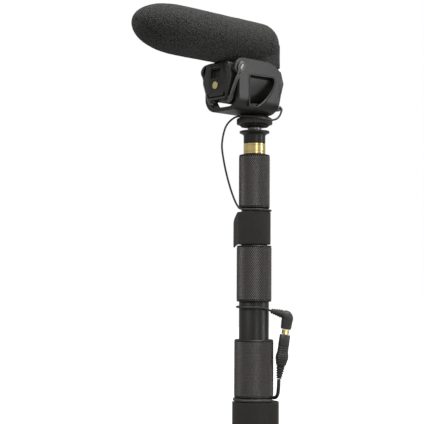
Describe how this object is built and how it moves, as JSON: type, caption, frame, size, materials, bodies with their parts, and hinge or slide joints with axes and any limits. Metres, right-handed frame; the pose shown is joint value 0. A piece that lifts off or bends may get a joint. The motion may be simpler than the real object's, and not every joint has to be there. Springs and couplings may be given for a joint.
{
  "type": "boom pole",
  "caption": "Telescopic boom pole with twist locks, a shock-mounted shotgun microphone under a foam windshield, its lead, an extension cable and hook-and-loop cable straps.",
  "frame": {"origin": "on the pole's axis, at the middle of the stretch of handle that a hand holds", "axes": "+Z along the pole from butt to tip; -Y the way the microphone faces; +X to the left of a person who looks along the microphone"},
  "size_m": [0.0497, 0.1527, 1.0326],
  "materials": {
    "anodised_tube": "gloss black anodised",
    "knurled_lock": "satin black anodised, fine diamond knurl",
    "satin_black_metal": "satin black",
    "gold_metal": "polished gold",
    "steel": "machined",
    "black_plastic": "satin, moulded",
    "grey_plastic": "satin, moulded",
    "nylon": "natural",
    "rubber": "matte",
    "elastic_band": "satin",
    "foam": "open-cell foam, charcoal",
    "webbing": "woven hook-and-loop webbing",
    "cable_jacket": "satin jacket",
    "circuit_board": "green solder mask",
    "battery_can": "satin, printed",
    "lamp": "translucent"
  },
  "bodies": {
    "handle": {"handle_tube": "anodised_tube", "butt_cap": "rubber", "collet_4": "nylon", "strap_3": "webbing", "ext_winding": "cable_jacket", "ext_tail": "cable_jacket", "ext_plug_body": "rubber", "ext_plug_pin": "gold_metal", "ext_lower": "cable_jacket"},
    "section_4": {"section_4_tube": "anodised_tube", "guide_bush_4": "nylon", "collet_3": "nylon", "strap_2": "webbing"},
    "section_3": {"section_3_tube": "anodised_tube", "guide_bush_3": "nylon", "collet_2": "nylon", "lead_plug": "rubber", "lead_plug_pin": "gold_metal", "socket_body": "rubber", "socket_relief": "rubber", "ext_upper": "cable_jacket"},
    "section_2": {"section_2_tube": "anodised_tube", "guide_bush_2": "nylon", "collet_1": "nylon", "strap_1": "webbing", "lead_lower": "cable_jacket"},
    "section_1": {"section_1_tube": "anodised_tube", "guide_bush_1": "nylon", "tip_ring": "gold_metal", "tip_fitting": "satin_black_metal", "thread_stud": "steel", "shoe_foot": "satin_black_metal", "cradle": "black_plastic", "cable_clip": "grey_plastic", "lead_upper": "cable_jacket", "band_front_left": "elastic_band", "band_front_right": "elastic_band", "band_rear_left": "elastic_band", "band_rear_right": "elastic_band"},
    "lock_1": {"lock_collar_1": "knurled_lock"},
    "lock_2": {"lock_collar_2": "knurled_lock"},
    "lock_3": {"lock_collar_3": "knurled_lock"},
    "lock_4": {"lock_collar_4": "knurled_lock"},
    "wheel": {"shoe_wheel": "black_plastic"},
    "microphone": {"mic_housing": "black_plastic", "rear_panel": "black_plastic", "circuit_board": "circuit_board", "battery": "battery_can", "interference_tube": "satin_black_metal", "capsule": "steel", "barrel_cap": "black_plastic", "status_lamp": "lamp", "mic_lead_tail": "cable_jacket"},
    "foam": {"windshield": "foam"},
    "door": {"battery_door": "black_plastic", "gold_dot": "gold_metal"},
    "latch": {"door_latch": "black_plastic"},
    "power": {"power_switch": "grey_plastic"},
    "level": {"level_switch": "grey_plastic"}
  },
  "joints": [
    {"name": "section_4_slide", "type": "slide", "parent": "handle", "child": "section_4", "axis": [0, 0, 1], "range_m": [0, 0.505], "deforming": ["ext_lower"]},
    {"name": "section_3_slide", "type": "slide", "parent": "section_4", "child": "section_3", "axis": [0, 0, 1], "range_m": [0, 0.505], "deforming": ["ext_upper"]},
    {"name": "section_2_slide", "type": "slide", "parent": "section_3", "child": "section_2", "axis": [0, 0, 1], "range_m": [0, 0.505], "deforming": ["lead_lower"]},
    {"name": "tip_slide", "type": "slide", "parent": "section_2", "child": "section_1", "axis": [0, 0, 1], "range_m": [0, 0.54], "deforming": ["lead_upper"]},
    {"name": "lock_1_twist", "type": "hinge", "parent": "section_2", "child": "lock_1", "pos_m": [0, 0, 0.7069], "axis": [0, 0, 1], "range_deg": [0, 90]},
    {"name": "lock_2_twist", "type": "hinge", "parent": "section_3", "child": "lock_2", "pos_m": [0, 0, 0.6297], "axis": [0, 0, 1], "range_deg": [0, 90]},
    {"name": "lock_3_twist", "type": "hinge", "parent": "section_4", "child": "lock_3", "pos_m": [0, 0, 0.55095], "axis": [0, 0, 1], "range_deg": [0, 90]},
    {"name": "lock_4_twist", "type": "hinge", "parent": "handle", "child": "lock_4", "pos_m": [0, 0, 0.459], "axis": [0, 0, 1], "range_deg": [0, 90]},
    {"name": "shoe_wheel_spin", "type": "hinge", "parent": "section_1", "child": "wheel", "pos_m": [0, 0, 0.7575], "axis": [0, 0, 1], "continuous": true},
    {"name": "mic_bounce", "type": "slide", "parent": "section_1", "child": "microphone", "axis": [0, 0, 1], "range_m": [-0.002, 0.002], "stiffness_N_per_m": 1600, "springref_m": 0.0011, "deforming": ["band_front_left", "band_front_right", "band_rear_left", "band_rear_right", "mic_lead_tail"]},
    {"name": "windshield_pull", "type": "slide", "parent": "microphone", "child": "foam", "axis": [0, -1, 0], "range_m": [0, 0.14]},
    {"name": "battery_door_hinge", "type": "hinge", "parent": "microphone", "child": "door", "pos_m": [0, -0.0446, 0.7752], "axis": [1, 0, 0], "range_deg": [0, 100]},
    {"name": "door_latch_press", "type": "slide", "parent": "door", "child": "latch", "axis": [0, 0, -1], "range_m": [0, 0.002], "stiffness_N_per_m": 200, "springref_m": -0.002},
    {"name": "power_switch_slide", "type": "slide", "parent": "microphone", "child": "power", "axis": [1, 0, 0], "range_m": [-0.0025, 0.0025]},
    {"name": "level_switch_slide", "type": "slide", "parent": "microphone", "child": "level", "axis": [1, 0, 0], "range_m": [-0.0025, 0.0025]}
  ]
}
